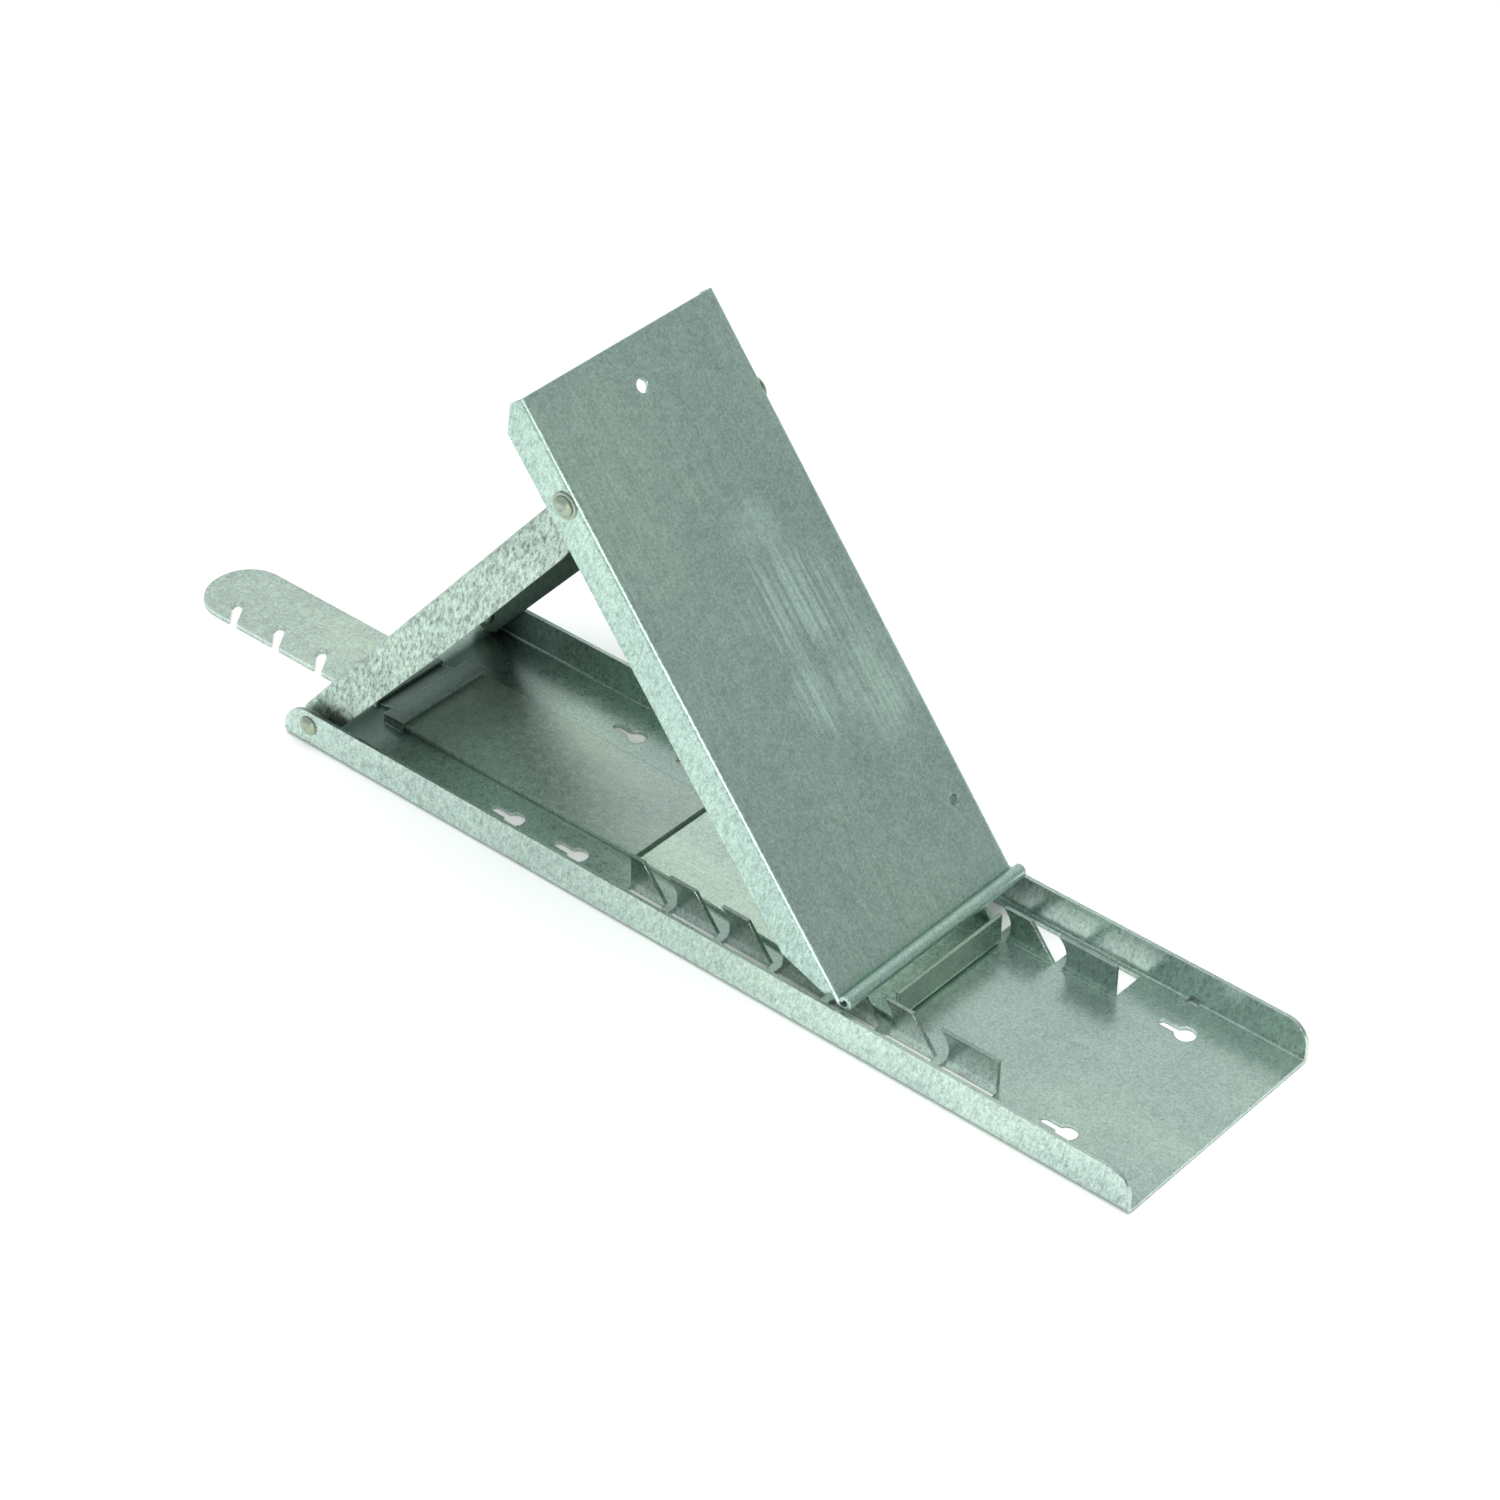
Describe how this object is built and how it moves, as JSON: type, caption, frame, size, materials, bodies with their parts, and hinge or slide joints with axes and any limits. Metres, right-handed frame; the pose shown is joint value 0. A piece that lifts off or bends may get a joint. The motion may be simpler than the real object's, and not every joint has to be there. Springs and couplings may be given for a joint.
{
  "type": "roof bracket",
  "caption": "Adjustable folding roof bracket: channel base with a tab rack, hooked nailing strap, hinged strut and platform that hold a plank on a slope.",
  "frame": {"origin": "middle of the overall length, on the centre line, on the roof plane that the base channel lies on", "axes": "+X down the slope along the base channel, from the hooked strap to the channel's lower end; +Y across the bracket; +Z away from the roof"},
  "size_m": [0.6018, 0.1318, 0.249],
  "materials": {
    "base_steel": "galvanised, fine spangle",
    "strut_steel": "galvanised, fine spangle",
    "platform_steel": "galvanised, smooth grey",
    "strap_steel": "galvanised bar",
    "rivet_steel": "zinc plated"
  },
  "bodies": {
    "base": {"base_channel": "base_steel", "nail_strap": "strap_steel", "lower_rivet_near": "rivet_steel", "lower_rivet_far": "rivet_steel", "lower_spacer_near": "rivet_steel", "lower_spacer_far": "rivet_steel"},
    "slide": {"foot_slide": "base_steel"},
    "strut": {"support_strut": "strut_steel"},
    "platform": {"platform": "platform_steel", "upper_rivet_near": "rivet_steel", "upper_rivet_far": "rivet_steel", "upper_ring_near": "rivet_steel", "upper_ring_far": "rivet_steel", "upper_washer_near": "rivet_steel", "upper_washer_far": "rivet_steel"}
  },
  "joints": [
    {"name": "strut_hinge", "type": "hinge", "parent": "base", "child": "strut", "pos_m": [-0.17315, 0, 0.012], "axis": [0, -1, 0], "range_deg": [-45.7, 16.8]},
    {"name": "platform_hinge", "type": "hinge", "parent": "strut", "child": "platform", "pos_m": [-0.01111, 0, 0.20669], "axis": [0, -1, 0], "range_deg": [-34.2, 92.9]},
    {"name": "foot_slide_travel", "type": "slide", "parent": "base", "child": "slide", "axis": [1, 0, 0], "range_m": [-0.002, 0.057]}
  ],
  "couplings": [
    {"joint": "platform_hinge", "follows": "strut_hinge", "ratio": -2.0318}
  ]
}
